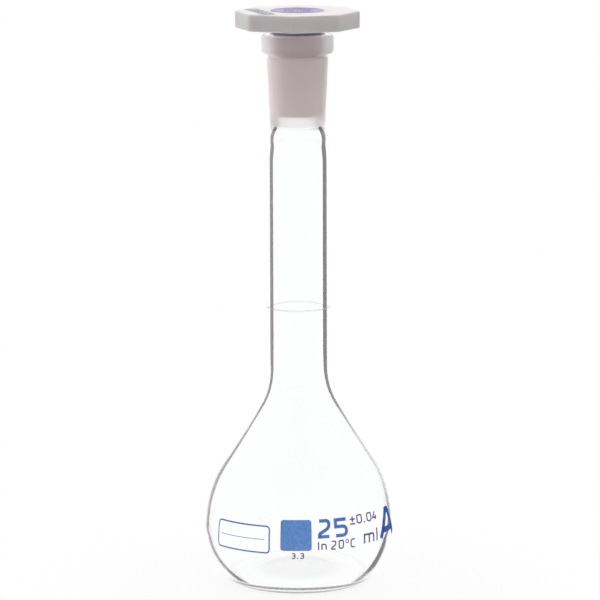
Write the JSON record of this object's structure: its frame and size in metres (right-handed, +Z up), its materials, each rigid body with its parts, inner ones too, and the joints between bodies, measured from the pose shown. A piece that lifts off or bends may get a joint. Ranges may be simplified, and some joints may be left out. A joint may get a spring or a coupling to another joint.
{
  "type": "volumetric flask",
  "caption": "Clear glass measuring flask with a pear-shaped bulb, slim neck with a filling line, ground socket and a lift-off stopper with an octagonal head.",
  "frame": {"origin": "centre of the foot, on the plane the flask stands on", "axes": "+Z up along the neck, -Y towards the printed front"},
  "size_m": [0.0374, 0.0374, 0.1132],
  "materials": {
    "clear_glass": "clear, fire-polished; the socket's bore is ground",
    "etched_line": "pale, etched and frosted",
    "patch_enamel": "fired enamel, satin",
    "white_plastic": "moulded polyethylene, satin",
    "blue_plastic": "moulded polyethylene, satin",
    "dark_blue_plastic": "moulded polyethylene, satin"
  },
  "bodies": {
    "flask": {"flask_body": "clear_glass", "graduation_ring": "etched_line", "marking_patch": "patch_enamel"},
    "ring": {"colour_ring": "dark_blue_plastic"},
    "stopper": {"stopper_body": "white_plastic", "stopper_disc": "blue_plastic"}
  },
  "joints": [
    {"name": "stopper_lift", "type": "slide", "parent": "flask", "child": "ring", "axis": [0, 0, 1], "range_m": [0, 0.03]},
    {"name": "stopper_turn", "type": "hinge", "parent": "ring", "child": "stopper", "pos_m": [0, 0, 0.1], "axis": [0, 0, 1], "continuous": true}
  ]
}
